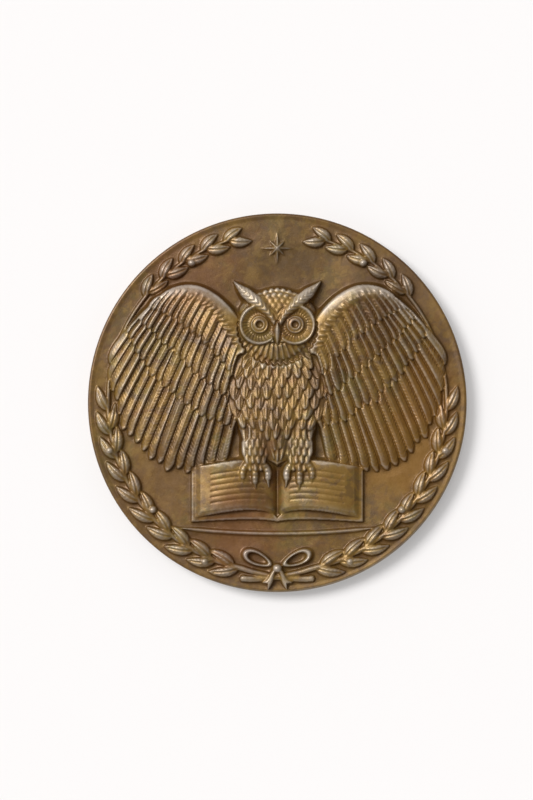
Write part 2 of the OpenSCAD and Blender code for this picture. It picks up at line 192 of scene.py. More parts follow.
# Where a leaf bends and ends, ahead along the stem and out from it, as shares of its length
BEND_AHEAD, BEND_OUT, TIP_AHEAD, TIP_OUT = 0.42, 0.30, 0.93, 0.34
# The inner leaf of a pair starts this far ahead of the outer one
INNER_AHEAD = 1.1
VEIN_DEEP, VEIN_WIDE = 0.26, 0.16
SIDE_VEIN_DEEP, SIDE_VEIN_PITCH = 0.04, 0.9
# Every third pair has an olive, this many degrees ahead of it
OLIVE_STEP, OLIVE_AHEAD = 3, 3.4
OLIVE_HALF_W, OLIVE_HALF_H, OLIVE_TOP = 0.95, 0.9, 1.42
# Leaves between these angles would lie under the wing
HIDDEN_FROM, HIDDEN_TO = 4, 38


def stem_at(deg):
    r = STEM_R - STEM_DRIFT * np.clip(deg - STEM_DRIFT_FROM, -30, 0)
    a = np.radians(deg)
    return np.stack([r * np.cos(a), r * np.sin(a)], -1)


def pair_share(i):
    return (i + 0.35) / LEAF_PAIRS


def is_hidden(p):
    return HIDDEN_FROM < math.degrees(math.atan2(p[1], p[0])) < HIDDEN_TO


def leaf(tilt):
    """The profile of a leaf: a crown, a vein along the middle, and finer veins that slant."""
    def profile(t, v, d, length):
        crown = LEAF_CROWN * np.sin(np.pi * np.clip(t * 0.9 + 0.1, 0, 1))
        z = LEAF_EDGE + crown * (1 - np.abs(v) ** 2 * 0.72)
        z -= VEIN_DEEP * np.exp(-(d / VEIN_WIDE) ** 2) * smooth(0.97, 0.8, t)
        z += tilt * v
        slant = np.sin((t * length - 1.3 * np.abs(d)) * 2 * np.pi / SIDE_VEIN_PITCH)
        return z + SIDE_VEIN_DEEP * slant * smooth(0.2, 0.4, np.abs(v))
    return profile


def stem(t, v, d, length):
    return STEM_EDGE + STEM_CROWN * np.sqrt(1 - v ** 2) - 0.14 * t


def branch(side):
    flip = np.array([side, 1.0])
    for i in range(LEAF_PAIRS):
        f = pair_share(i)
        deg = FIRST_PAIR + BRANCH_TURN * f
        ahead = stem_at(deg + 0.5) - stem_at(deg - 0.5)
        ahead /= np.linalg.norm(ahead)
        out = np.array([ahead[1], -ahead[0]])
        for hand in (1, -1):
            long = LEAF_LONG * (1 - LEAF_SHRINK * f)
            p = stem_at(deg) + ahead * (0 if hand > 0 else INNER_AHEAD)
            if is_hidden(p + ahead * long * (0.2 if hand > 0 else 0.6)):
                continue
            long *= 1 + 0.025 * rng.standard_normal()
            tip_out = TIP_OUT + 0.02 * rng.standard_normal()
            bend = p + ahead * long * BEND_AHEAD + out * hand * long * BEND_OUT
            tip = p + ahead * long * TIP_AHEAD + out * hand * long * tip_out
            t = np.linspace(0, 1, 22)
            w = LEAF_HALF_W * np.sin(np.pi * t ** 0.8) ** 0.8
            widths = np.c_[t, np.maximum(w, 0.02)]
            ridge(curve(p, bend, tip, m=16) * flip, widths, leaf(LEAF_TILT * side * hand))
    ridge(stem_at(np.linspace(STEM_FOOT, STEM_TIP, 120)) * flip, STEM_HALF_W, stem, fillet=0.1)
    for i in range(1, LEAF_PAIRS, OLIVE_STEP):
        deg = FIRST_PAIR + BRANCH_TURN * pair_share(i) + OLIVE_AHEAD
        p = stem_at(deg) * (1.03 if i % 2 else 0.97)
        if not is_hidden(p):
            bump(p[0] * side, p[1], OLIVE_HALF_W, OLIVE_HALF_H, OLIVE_TOP, 0.3, fillet=0.06)


# Bow: two loops, two tails and a knot
LOOP_X, LOOP_Y, LOOP_TILT = 4.12, -32.9, 24
LOOP_HALF_LONG, LOOP_HALF_WIDE, LOOP_EGG = 4.0, 1.72, 0.35
BAND_AT, BAND_WIDE, BAND_TOP, BAND_LINES = 0.70, 0.19, 1.42, 34
TAIL = [(0.35, -35.1), (1.3, -36.0), (0.9, -37.2), (2.7, -38.7)]
TAIL_HALF_W = [(0, 0.44), (0.6, 0.8), (1, 1.0)]
KNOT_Y, KNOT_HALF_W, KNOT_HALF_H, KNOT_TOP = -34.9, 1.12, 1.0, 1.72


def ribbon_tail(t, v, d, length):
    """A tail is hollow along its middle, and its end is cut to two points."""
    z = 0.7 + 0.6 * (1 - v ** 2) - 0.2 * np.exp(-(d / 0.16) ** 2) * t
    return np.where((t < 1) & (1 - t > 0.2 * (1 - np.abs(v))), z, -1.0)


def bow():
    for side in (1, -1):
        # each loop is an egg-shaped ring
        cx, reach = LOOP_X * side, LOOP_HALF_LONG
        win = window((cx - reach, LOOP_Y - reach), (cx + reach, LOOP_Y + reach))
        x, y = (X[win] - cx) * side, Y[win] - LOOP_Y
        c, s = math.cos(math.radians(LOOP_TILT)), math.sin(math.radians(LOOP_TILT))
        a, b = (x * c + y * s) / LOOP_HALF_LONG, (y * c - x * s) / LOOP_HALF_WIDE
        q = np.sqrt(a ** 2 + (b / (1 + LOOP_EGG * np.clip(a, -1, 1))) ** 2)
        z = BAND_TOP * np.exp(-((q - BAND_AT) / BAND_WIDE) ** 2) - 0.15
        z += 0.10 * np.sin(q * BAND_LINES) * smooth(0.5, 0.6, q) * smooth(0.95, 0.85, q)
        m = (q < 1) & (z > H[win])
        H[win][m] = z[m]
        # each tail hangs over the crossed stems
        ridge(curve(*TAIL, m=30) * np.array([side, 1.0]), TAIL_HALF_W, ribbon_tail, fillet=0.03)
    bump(0, KNOT_Y, KNOT_HALF_W, KNOT_HALF_H, KNOT_TOP, 0.4, fillet=0.05)


# Line of ground under the book
GROUND = [(-20.5, -26.4), (0, -28.8), (20.5, -26.4)]
GROUND_HALF_W = [(0, 0.16), (0.1, 0.55), (0.9, 0.55), (1, 0.16)]


def ground():
    ridge(curve(*GROUND, m=40), GROUND_HALF_W,
          lambda t, v, d, length: 0.06 + 0.46 * (1 - v ** 2), fillet=0.05)


# Star between the tips of the branches: four long arms over four short ones
STAR_Y, STAR_LONG, STAR_SHORT, STAR_WAIST = 32.6, 3.6, 2.32, 1.2
STAR_SLOPE = 1.15


def star():
    win = window((-STAR_LONG, STAR_Y - STAR_LONG), (STAR_LONG, STAR_Y + STAR_LONG))
    x, y = X[win], Y[win] - STAR_Y
    r, th = np.hypot(x, y), np.arctan2(y, x)
    z = np.full(x.shape, -1.0)
    ix, iy = STAR_WAIST * math.cos(np.pi / 8), STAR_WAIST * math.sin(np.pi / 8)
    for outer, turn in ((STAR_SHORT, np.pi / 4), (STAR_LONG, 0.0)):
        # four arms, with a valley on each side of an arm
        a = np.abs(((th - turn + np.pi / 4) % (np.pi / 2)) - np.pi / 4)
        px, py = r * np.cos(a), r * np.sin(a)
        e = ((outer - px) * iy - py * (outer - ix)) / math.hypot(outer - ix, iy)
        z = np.maximum(z, np.where(e > 0, 0.05 + STAR_SLOPE * np.minimum(e, 1.1), -1))
    H[win] = np.maximum(H[win], z)


# Wings: the root runs from the wrist to the shoulder, and the tips run the same way. Both are curves
# with points in shares of the disc's radius. The tips are drawn in by this share, clear of the rim
TIP_SHARE = 0.92
ROOT = np.array([[0.6, 0.56], [0.45, 0.65], [0.2125, 0.525], [0.15, 0.1625]]) * DISC_R
TIP = np.array([[0.962, 0.258], [0.965, -0.19], [0.679, -0.53], [0.299, -0.359]]) * DISC_R * TIP_SHARE
# Rows from the long feathers up: reach, lift, crown, and how far the tip drops
ROWS = [
    (1.00, 0.00, 0.46, 0.38),
    (0.60, 0.26, 0.42, 0.12),
    (0.40, 0.50, 0.36, 0.10),
    (0.23, 0.68, 0.30, 0.08),
]
FEATHERS = 17
# How far feathers lap over each other, and lean like tiles
LAP, LEAN = 1.2, 0.31
# How much the feathers vary: in length, curve, height, width and lean
VARY_END, VARY_SWAY, VARY_LIFT, VARY_LAP, VARY_LEAN = 0.014, 0.20, 0.07, 0.05, 0.06
QUILL_HIGH, QUILL_WIDE, BARB_DEEP, SPLIT_DEEP, SPLIT_WIDE = 0.12, 0.17, 0.06, 0.17, 0.13
# Where a rounded tip needs more points, as shares of the way back from its end
TIP_STATIONS = np.array([0.75, 0.5, 0.35, 0.25, 0.15, 0.08, 0.03, 0.0])
ARM_HALF_W = [(0, 0.7), (0.25, 1.75), (1, 2.2)]
ARM_CROWN = 0.72
STRANDS, STRAND_REACH, STRAND_HALF_W = 25, 1.25, 0.52


def wing_at(s, t):
    """A place on the wing: s runs from the wrist to the shoulder, t from the root to the tips."""
    s, t = np.broadcast_arrays(np.asarray(s, float), np.asarray(t, float))
    a, b = cubic(ROOT, s), cubic(TIP, s)
    d = b - a
    across = np.stack([-d[..., 1], d[..., 0]], -1) / np.linalg.norm(d, axis=-1)[..., None]
    c = (a + b) / 2 + across * (DISC_R * (0.05 - 0.035 * s))[..., None]
    return quadratic(a, c, b, t[..., None])


def wing_z(s, t):
    """The wing swells below its arm and in its middle, and has gentle folds."""
    t = np.clip(t, 0, 1)
    arm = 1.15 * np.exp(-(t / 0.30) ** 1.6)
    camber = 0.95 * np.sin(np.pi * t ** 0.8) * (0.35 + 0.65 * s)
    fold = 0.32 * np.sin(2 * np.pi * (1.7 * s + 0.1)) * smooth(0.1, 0.5, t) * smooth(1.05, 0.75, t)
    return 0.55 + arm + camber + fold


def arm_z(f):
    return 2.25 - 0.45 * (1 - f) - 0.8 * smooth(0.8, 1.0, f)


def feathers(side, row):
    flip = np.array([side, 1.0])
    reach, lift, crown, drop = ROWS[row]
    for i in range(FEATHERS + row % 2):
        s = float(np.clip((i + 0.5 - 0.5 * (row % 2)) / FEATHERS, 0.008, 0.992))
        end = reach * (1 + VARY_END * rng.standard_normal())
        ts = np.linspace(0.0, end, 26)
        path = wing_at(s, ts)
        sway, raised = VARY_SWAY * rng.standard_normal(), VARY_LIFT * rng.standard_normal()
        path += turned(path[-1] - path[0]) * (sway * np.sin(np.pi * ts / end))[:, None]
        half = 0.5 / FEATHERS
        gap = wing_at(np.clip(s + half, 0, 1), ts) - wing_at(np.clip(s - half, 0, 1), ts)
        lap = LAP + VARY_LAP * rng.standard_normal()
        w = np.maximum(0.5 * np.linalg.norm(gap, axis=1) * lap, 0.5)
        share = np.linspace(0, 1, len(ts))
        long = np.linalg.norm(np.diff(path, axis=0), axis=1).sum()
        round_from = 1 - min(0.6, 2.5 * w[-1] / long)
        stations = np.unique(np.r_[share, round_from, 1 - (1 - round_from) * TIP_STATIONS])
        widths = plume(stations, round_from, 1.0, 1.9)
        widths[:, 1] *= np.interp(stations, share, w)
        lean = LEAN + VARY_LEAN * rng.standard_normal()
        split, pitch = rng.uniform(0.3, 0.85), rng.uniform(0.66, 0.84)
        split_side = 1 if rng.random() < 0.5 else -1

        def feather(t, v, d, length):
            tt = t * end
            z = (wing_z(s, tt) + lift + raised + crown * (1 - np.abs(v) ** 3.0)
                 - lean * v * side * smooth(0, 0.3, tt))
            z += (quill(d, t, QUILL_HIGH, QUILL_WIDE) + barbs(d, v, t, length, BARB_DEEP, pitch)
                  - drop * smooth(0.86, 1.0, t) ** 1.5)
            cut = np.exp(-(((t - split) * length + 1.3 * np.abs(d)) / SPLIT_WIDE) ** 2)
            return z - SPLIT_DEEP * cut * smooth(0.25, 0.6, v * split_side)
        ridge(path * flip, widths, feather)


def arm(side):
    """The arm has a smooth leading edge, and strands over its lower half."""
    flip = np.array([side, 1.0])
    ridge(cubic(ROOT, np.linspace(0, 1, 40)) * flip, ARM_HALF_W,
          lambda t, v, d, length: arm_z(t) + ARM_CROWN * np.sqrt(1 - v ** 2), fillet=0.2)
    for k in range(STRANDS):
        f = (k + 0.5) / STRANDS
        ahead = cubic(ROOT, min(f + 0.02, 1)) - cubic(ROOT, max(f - 0.02, 0))
        ahead /= np.linalg.norm(ahead)
        across = np.array([ahead[1], -ahead[0]])
        w = np.interp(f, *np.array(ARM_HALF_W).T)
        reach = STRAND_REACH + 0.12 * rng.standard_normal()
        p0 = cubic(ROOT, f) + ahead * 0.5
        p1 = cubic(ROOT, f) - across * reach * w - ahead * (0.9 + 0.2 * rng.standard_normal())
        bowed = (p0 + p1) / 2 + turned(p1 - p0) * 0.22

        def strand(t, v, d, length):
            z = arm_z(f) + ARM_CROWN * np.sqrt(1 - np.clip(reach * t, 0, 1) ** 2) + 0.3 * smooth(0.4, 1.0, t)
            return z + 0.3 * smooth(0.0, 0.4, t) * (1 - v ** 2)
        widths = plume(np.linspace(0, 1, 16), 0.45, STRAND_HALF_W, 2.0)
        ridge(curve(p0, bowed, p1, m=10) * flip, widths, strand, fillet=0.04)


def wing(side):
    for row in range(len(ROWS)):
        feathers(side, row)
    arm(side)


# Tail: five feathers from the outer ones in
TAIL_TOP, TAIL_BEND, TAIL_END = -5, -11, -16.0
TAIL_FEATHER_HALF_W = 1.2


def tail_feathers():
    widths = plume(np.linspace(0, 1, 20), 0.8, TAIL_FEATHER_HALF_W)
    for k in (-2, 2, -1, 1, 0):
        def feather(t, v, d, length):
            z = 1.62 + 0.17 * (2 - abs(k)) + 0.2 * (1 - v ** 2)
            return z + quill(d, 0, 0.1) + barbs(d, v, t, length, 0.035)
        end = (k * 1.25, TAIL_END + 0.2 * abs(k))
        ridge(curve((k * 0.6, TAIL_TOP), (k * 0.95, TAIL_BEND), end, m=20), widths, feather)


# Breast: an oval dome with feathers in rows, like tiles
BREAST_Y, BREAST_HALF_W, BREAST_HALF_H = 0.8, 9.4, 13.4
BREAST_EDGE, BREAST_CROWN = 0.9, 2.05
BREAST_ROWS, BREAST_ACROSS = 11, 8
TUFT_RISE, TUFT_CROWN, TUFT_STRANDS = 0.38, 0.26, 0.075
# Below this height the thighs cover what is further out than this
THIGH_TOP, THIGH_IN = -7.2, 2.2


def breast_half(y):
    q = (y - BREAST_Y) / BREAST_HALF_H
    return BREAST_HALF_W * np.sqrt(np.clip(1 - q ** 2, 0, 1)) * (1 + 0.05 * q)


def breast_z(u, y):
    q = np.clip(np.abs(y - BREAST_Y) / BREAST_HALF_H, 0, 1)
    return BREAST_EDGE + BREAST_CROWN * np.sqrt(np.clip(1 - 0.92 * u * u, 0, 1)) * (1 - 0.3 * q ** 2.5)


def breast():
    win = window((-BREAST_HALF_W, BREAST_Y - BREAST_HALF_H), (BREAST_HALF_W, BREAST_Y + BREAST_HALF_H), 0.3)
    half = breast_half(Y[win])
    u = np.abs(X[win]) / np.maximum(half, 1e-6)
    m = u < 1
    H[win][m] = smooth_max(breast_z(u, Y[win]) - 0.1, H[win], 0.1)[m]
    high = BREAST_Y + BREAST_HALF_H * 0.86
    pitch = (high - (BREAST_Y - BREAST_HALF_H * 0.9)) / BREAST_ROWS
    for i in range(BREAST_ROWS, 0, -1):
        y_tip = high - pitch * (i + 0.42)
        for j in range(BREAST_ACROSS + i % 2):
            u = 0.97 * (2 * (j + 0.5 - 0.5 * (i % 2)) / BREAST_ACROSS - 1)
            y1 = y_tip + 0.16 * rng.standard_normal()
            y0 = y1 + pitch * 1.9
            x0 = u * float(breast_half(y0))
            x1 = u * float(breast_half(max(y1, -12.0))) + 0.18 * rng.standard_normal()
            w = float(breast_half(y1 + 0.8)) / BREAST_ACROSS * 1.04
            on_thigh = y1 < THIGH_TOP and max(abs(x0), abs(x1)) > THIGH_IN
            if w < 0.25 or on_thigh:
                continue
            raised, part = 0.07 * rng.standard_normal(), 0.3 * rng.standard_normal()

            def tuft(t, v, d, length):
                y = y0 + (y1 - y0) * t
                z = breast_z(u * 0.98, y) - 0.16 + raised + TUFT_RISE * t + TUFT_CROWN * (1 - v ** 2)
                strands = np.cos((v * 3.2 + part) * np.pi)
                return z + TUFT_STRANDS * strands * smooth(0.1, 0.5, t)
            path = curve((x0, y0), ((x0 + x1) / 2 + 0.3 * part, (y0 + y1) / 2), (x1, y1), m=8)
            ridge(path, plume(np.linspace(0, 1, 22), 0.3, w, 1.8), tuft)


# Open book: the cover, and leaves that step in and up to the top one
BOOK_HALF, BOOK_TOP, BOOK_FOOT = 17.2, -13.4, -24.2
COVER_OUT, COVER_Z = 1.0, 0.68
# How far each layer of leaves steps in, and how far it lies below the top one
LEAVES = [(0.0, 0.30), (0.42, 0.14), (0.84, 0.0)]
PAGE_Z, PAGE_SWELL, GUTTER_DEEP, PAGE_DROP = 0.75, 1.35, 1.1, 0.55
LINE_PITCH, LINE_DEEP, LINE_WIDE = 1.2, 0.11, 0.17
# Where the ruled lines start and end across a page, and between which heights above its foot
LINE_START, LINE_END, LINES_LOW, LINES_HIGH = 0.16, 0.86, 2.0, 9.2


def arch(u):
    return 1.55 * np.sin(np.pi * np.clip(u, 0, 1) ** 0.62)


def page_z(u):
    """A page rises steeply from the gutter and falls away to its outer edge."""
    u = np.clip(u, 0, 1)
    swell = PAGE_SWELL * np.sin(np.pi * (0.12 + 0.62 * u)) ** 1.3
    gutter = GUTTER_DEEP * np.exp(-(u / 0.045) ** 1.4)
    return PAGE_Z + swell - gutter - PAGE_DROP * u ** 3


def book():
    win = window((-BOOK_HALF - 1.5, BOOK_FOOT - 2), (BOOK_HALF + 1.5, BOOK_TOP + 2.4))
    x, y = np.abs(X[win]), Y[win]
    under = H[win]
    u = x / (BOOK_HALF + COVER_OUT)
    inside = (u < 1) & (y < BOOK_TOP + 0.45 * arch(u) - 0.1) & (y > BOOK_FOOT - COVER_OUT + 0.35 * arch(u))
    under[inside] = COVER_Z
    ends = arch(x / BOOK_HALF)
    for inset, low in LEAVES:
        u = x / (BOOK_HALF - inset)
        inside = (u < 1) & (y < BOOK_TOP + ends) & (y > BOOK_FOOT + inset + ends)
        under[inside] = (page_z(x / BOOK_HALF) - low)[inside]
    # ruled lines on the top leaf
    rows = y - BOOK_FOOT - ends
    line = LINE_DEEP * np.exp(-(((rows - 1.9) % LINE_PITCH - 0.5 * LINE_PITCH) / LINE_WIDE) ** 2)
    m = inside & (u > LINE_START) & (u < LINE_END) & (rows > LINES_LOW) & (rows < LINES_HIGH)
    under[m] -= line[m]


# Legs: a feathered thigh, and three toes with claws over the top edge of the book
THIGH_X, THIGH_Y, THIGH_HALF_W, THIGH_HALF_H, THIGH_Z = 4.6, -9.4, 3.0, 5.0, 2.85
THIGH_ROWS, THIGH_PITCH_X, THIGH_PITCH_Y = 5, 1.15, 1.62
# Where each toe gives way to its claw, and the places of the ankle and the knuckles up the face
TOES = [(2.0, -16.9), (7.3, -16.7), (4.7, -17.7)]
ANKLE_Y, KNUCKLE_Y = -12.4, -13.6
TOE_HALF_W = [(0, 0.95), (0.5, 0.92), (0.85, 0.82), (1, 0.75)]
CLAW_HALF_W = [(0, 0.5), (0.4, 0.46), (1, 0.1)]


def toe(t, v, d, length):
    joints = 0.16 * np.abs(np.sin(np.pi * t * 4.2)) ** 0.7
    return 1.55 + (0.9 - 0.15 * t + joints) * np.sqrt(1 - v ** 2)


def claw(t, v, d, length):
    return 1.2 + (1.2 - 0.72 * t) * np.sqrt(1 - v ** 2)


def leg(side):
    flip = np.array([side, 1.0])
    cx, cy = THIGH_X, THIGH_Y
    bump(cx * side, cy, THIGH_HALF_W, THIGH_HALF_H, THIGH_Z, 1.2)
    for k in range(THIGH_ROWS):
        for j in range(-3, 4):
            px = cx + (j + 0.5 * (k % 2)) * THIGH_PITCH_X
            py = cy + 3.4 - THIGH_PITCH_Y * (THIGH_ROWS - 1 - k) - 0.1 * abs(px - cx)
            out = 1 - ((px - cx) / THIGH_HALF_W) ** 2 - ((py - 0.6 - cy) / 5.4) ** 2
            if out < 0.08:
                continue
            crown = 1.35 + 1.35 * math.sqrt(out)
            ridge(curve((px, py + 0.9), (px, py - 0.4), (px * 0.99, py - 1.9), m=6) * flip,
                  plume(np.linspace(0, 1, 16), 0.35, 0.70, 2.0),
                  lambda t, v, d, length: crown + 0.14 * (1 - v * v) + 0.2 * t + quill(d, t, 0.08))
    for ex, ey in TOES:
        root = (cx + (ex - cx) * 0.35, ANKLE_Y)
        bend = (ex + (ex - cx) * 0.1, KNUCKLE_Y)
        ridge(curve(root, bend, (ex, ey + 1.2), m=20) * flip, TOE_HALF_W, toe, fillet=0.08)
        ridge(curve((ex, ey + 1.5), (ex, ey + 0.2), (ex - 0.25, ey - 0.9), m=12) * flip,
              CLAW_HALF_W, claw, fillet=0.05)


# Head: a dome, a ruff, small feathers on the crown, two face discs, two brows and a beak
HEAD_Y, HEAD_HALF_W, HEAD_HALF_H, HEAD_SQUARE = 16.2, 8.7, 7.6, 2.3
# Shares of the head's outline, and the heights there
DOME = [(0, 0.45, 0.7, 0.84, 0.93, 1), (3.3, 3.15, 2.75, 2.4, 1.9, 1.1)]
# Rings of the ruff: half width, half height, how many feathers, their length and half width
RUFF = [(8.5, 7.9, 30, 2.6, 0.78), (7.2, 6.7, 26, 2.4, 0.74)]
RUFF_HALF_TURN = 138
CROWN_ROWS, CROWN_PITCH_X, CROWN_PITCH_Y = 7, 1.25, 1.05
FACE_R, FACE_X, FACE_Y, FACE_RAYS = 4.36, 3.75, 16.45, 30
# From the middle of the eye out: shares of the face disc's radius, and the heights there
FACE = [
    (0, 2.3), (0.14, 2.3), (0.17, 3.06), (0.26, 3.02), (0.33, 2.86),
    (0.345, 2.84), (0.37, 3.02), (0.40, 3.02), (0.45, 2.55), (0.6, 2.42),
    (0.8, 2.85), (0.87, 3.18), (0.93, 3.24), (0.97, 3.05), (1, 2.7),
]
BROW = [(0.2, 15.6), (1.5, 20.4), (4.6, 20.6), (9.2, 25.6)]
BROW_HALF_W = [(0, 0.4), (0.18, 0.85), (0.5, 1.35), (0.75, 1.2), (1, 0.08)]
BEAK = [(0, 16.9), (0, 14.4), (0, 11.9)]
BEAK_HALF_W = [(0, 0.35), (0.3, 1.05), (0.6, 0.98), (0.85, 0.55), (1, 0.06)]


def head_share(x, y):
    """Share of the head's outline, which is an oval that is a little square."""
    across, up = np.abs(x) / HEAD_HALF_W, np.abs(y - HEAD_Y) / HEAD_HALF_H
    return (across ** HEAD_SQUARE + up ** HEAD_SQUARE) ** (1 / HEAD_SQUARE)


def ruff():
    """Two rings of short feathers that point out and down."""
    for ring, (rx, ry, number, long, w) in enumerate(RUFF):
        for k in range(number):
            turn = 2 * RUFF_HALF_TURN * (k + 0.5 + 0.5 * (ring % 2)) / number
            a = math.radians(-90 - RUFF_HALF_TURN + turn)
            p = np.array([rx * math.cos(a), HEAD_Y + ry * math.sin(a) - 0.6])
            q = np.array([(rx - long) * math.cos(a), HEAD_Y + (ry - long) * math.sin(a)])

            def feather(t, v, d, length):
                return 2.08 + 0.40 * ring - 0.35 * t + 0.30 * (1 - v ** 2) + quill(d, 0, 0.1, 0.14)
            widths = plume(np.linspace(0, 1, 18), 0.5, w, 2.1)
            ridge(curve(q, (p + q) / 2 + [0, 0.1], p, m=10), widths, feather)


def crown_feathers():
    """Small feathers between the brows, in rows that follow the dome."""
    for k in range(CROWN_ROWS):
        for j in range(-4, 5):
            px = (j + 0.5 * (k % 2)) * CROWN_PITCH_X
            py = HEAD_Y + 6.5 - CROWN_PITCH_Y * k - 0.075 * px * px
            out = head_share(px, py + 0.5)
            if out > 0.97 or abs(px) > 1.4 + (CROWN_ROWS - 1 - k) * 0.75:
                continue
            foot = float(np.interp(out, *DOME)) - 0.1
            ridge(curve((px * 0.98, py + 0.9), (px, py), (px * 0.97, py - 1.15), m=6),
                  plume(np.linspace(0, 1, 16), 0.45, 0.70, 2.1),
                  lambda t, v, d, length: foot + 0.18 * (1 - v * v) + 0.22 * t)


def face_disc(side):
    cx, reach = FACE_X * side, FACE_R + 0.24
    win = window((cx - reach, FACE_Y - reach), (cx + reach, FACE_Y + reach))
    x, y = X[win] - cx, Y[win] - FACE_Y
    q = np.hypot(x, y) / FACE_R
    th = np.arctan2(y, x)
    z = np.interp(q, *np.array(FACE).T)
    rays = np.cos(th * FACE_RAYS + 0.6 * np.sin(q * 9) * side)
    z += 0.09 * rays * smooth(0.46, 0.54, q) * smooth(0.86, 0.78, q)
    m = (q < 1) & (X[win] * side > 0)
    H[win][m] = z[m]


def brow(t, v, d, length):
    z = 2.72 + 0.82 * np.sin(np.pi * np.clip(t * 0.8 + 0.22, 0, 1)) - 0.9 * smooth(0.55, 1.0, t)
    z -= 0.7 * np.abs(v) ** 2
    return z + 0.08 * np.cos((np.abs(d) * 1.4 - t * length) * 2 * np.pi / 1.15)


def beak(t, v, d, length):
    swell = 0.64 * np.sin(np.pi * np.clip(0.25 + 0.6 * t, 0, 1))
    return 2.95 + swell - 1.1 * np.abs(v) ** 1.5 - 0.35 * t ** 4


def head():
    win = window((-HEAD_HALF_W, HEAD_Y - HEAD_HALF_H), (HEAD_HALF_W, HEAD_Y + HEAD_HALF_H))
    q = head_share(X[win], Y[win])
    m = q < 1
    z = np.interp(q, *DOME)
    H[win][m] = np.maximum(z, H[win])[m]
    ruff()
    crown_feathers()
    for side in (1, -1):
        face_disc(side)
    for side in (1, -1):
        ridge(curve(*BROW, m=40) * np.array([side, 1.0]), BROW_HALF_W, brow, fillet=0.05)
    ridge(curve(*BEAK, m=12), BEAK_HALF_W, beak)


# The relief, from what lies lowest up
branch(1)
branch(-1)
ground()
bow()
star()
wing(1)
wing(-1)
tail_feathers()
book()
leg(1)
leg(-1)
breast()
head()

# Cast finish: soft edges and a barely uneven skin
FREQ_X = np.fft.rfftfreq(count, STEP)[None, :]
FREQ_Y = np.fft.fftfreq(count, STEP)[:, None]
EDGE_BLUR = 0.10
# A corner that lies this deep under the blurred relief is filled with a fillet
FOOT_BLUR, FOOT_DEPTH, FOOT_FILLET = 0.6, 0.4, 0.15
# Unevenness from broad to fine: its scale and its height
GRAIN = [(6.0, 0.07), (2.6, 0.05), (1.0, 0.014), (0.4, 0.006)]
# Blurs that fine and broad relief are told apart by
FINE_BLUR, BROAD_BLUR = 0.35, 1.6


def blurred(a, sigma):
    fade = np.exp(-2 * (np.pi * sigma) ** 2 * (FREQ_X ** 2 + FREQ_Y ** 2))
    return np.fft.irfft2(np.fft.rfft2(a) * fade, s=a.shape)


def grain(sigma, size):
    a = blurred(rng.standard_normal(H.shape), sigma)
    return a / a.std() * size


H *= DEPTH
H += RIM_RISE * smooth(DISC_R - RIM_W - 0.4, DISC_R - RIM_W + 0.6, np.hypot(X, Y))
H = blurred(H, EDGE_BLUR)
H = smooth_max(H, blurred(H, FOOT_BLUR) - FOOT_DEPTH, FOOT_FILLET)
H += sum(grain(sigma, size) for sigma, size in GRAIN)
FINE = H - blurred(H, FINE_BLUR)
BROAD = H - blurred(H, BROAD_BLUR)
SLOPE_Y, SLOPE_X = np.gradient(H, STEP)


def sampled(grid, x, y):
    """Bilinear reading of a grid at points."""
    fx = np.clip((x + DISC_R) / STEP, 0, count - 1.001)
    fy = np.clip((y + DISC_R) / STEP, 0, count - 1.001)
    i, j = fx.astype(int), fy.astype(int)
    fx, fy = fx - i, fy - j
    return (grid[j, i] * (1 - fx) * (1 - fy) + grid[j, i + 1] * fx * (1 - fy)
            + grid[j + 1, i] * (1 - fx) * fy + grid[j + 1, i + 1] * fx * fy)


# One closed mesh: rings on the face, the rounded edge, and the back with its shallow recess
FACE_EDGE = DISC_R - CORNER_R
FOOT_IN = DISC_R - FOOT_W
RECESS_R = FOOT_IN - BACK_DEPTH
# A ring on the back that keeps its triangles short, and how near a point counts as on an edge
BACK_RING, NEAR = 18.0, 0.02
RINGS = 290
TRIANGLES = 196000
rim_top = FIELD_Z + RIM_H


def face_points():
    """The middle point, and rings of six more points each."""
    points = [np.zeros((1, 2))]
    for k in range(1, RINGS + 1):
        a = np.arange(6 * k) * (np.pi / (3 * k))
        points.append(np.stack([np.cos(a), np.sin(a)], 1) * FACE_EDGE * k / RINGS)
    return np.concatenate(points)


def face_triangles():
    triangles = []
    first = 0
    for k in range(1, RINGS + 1):
        inner, outer = first, first + (1 if k == 1 else 6 * (k - 1))
        j = np.arange(6 * k)
        sector, step = j // k, j % k
        n_in = max(1, 6 * (k - 1))
        near = inner + (sector * (k - 1) + step) % n_in
        triangles.append(np.stack([outer + j, outer + (j + 1) % (6 * k), near], 1))
        more = step < k - 1
        j, near, sector, step = j[more], near[more], sector[more], step[more]
        far = inner + (sector * (k - 1) + step + 1) % n_in
        triangles.append(np.stack([near, outer + (j + 1) % (6 * k), far], 1))
        first = outer
    return triangles


def edge_profile():
    """Radius and height down the rounded edge, and in over the foot ring and its recess."""
    upper = np.radians([15, 30, 45, 60, 75, 90])
    lower = np.radians([0, 20, 40, 60, 75, 90])
    profile = [(FACE_EDGE + CORNER_R * math.sin(q), rim_top - CORNER_R * (1 - math.cos(q))) for q in upper]
    profile += [(FACE_EDGE + CORNER_R * math.cos(q), CORNER_R * (1 - math.sin(q))) for q in lower]
    return profile + [(FOOT_IN, 0.0), (RECESS_R, BACK_DEPTH), (BACK_RING, BACK_DEPTH)]


